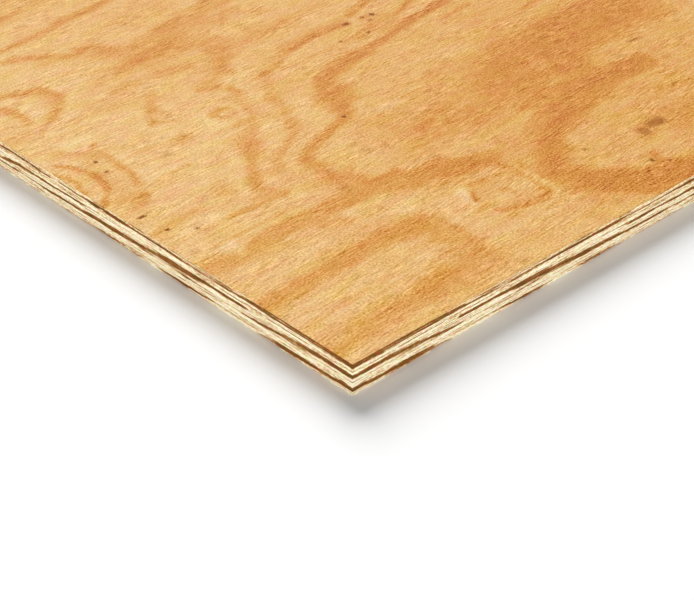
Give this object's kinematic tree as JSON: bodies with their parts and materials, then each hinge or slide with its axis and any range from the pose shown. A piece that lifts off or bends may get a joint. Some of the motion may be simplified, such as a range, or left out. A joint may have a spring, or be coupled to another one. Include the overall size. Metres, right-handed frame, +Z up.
{
  "type": "plywood sheet",
  "caption": "Full-size flat softwood plywood sheet of cross-laminated rotary-cut veneers, with a knotty wild-grain face and square-sawn edges that show the plies.",
  "frame": {"origin": "middle of the underside", "axes": "+X along the length and the face grain, +Y across the width, +Z up out of the face veneer"},
  "size_m": [2.44, 1.22, 0.018],
  "materials": {
    "face_veneer": "sanded",
    "crossband": "sawn",
    "centre_ply": "sawn",
    "back_veneer": "sanded"
  },
  "bodies": {
    "root": {"back_veneer": "back_veneer", "lower_crossband": "crossband", "centre_ply": "centre_ply", "upper_crossband": "crossband", "face_veneer": "face_veneer"}
  },
  "joints": []
}
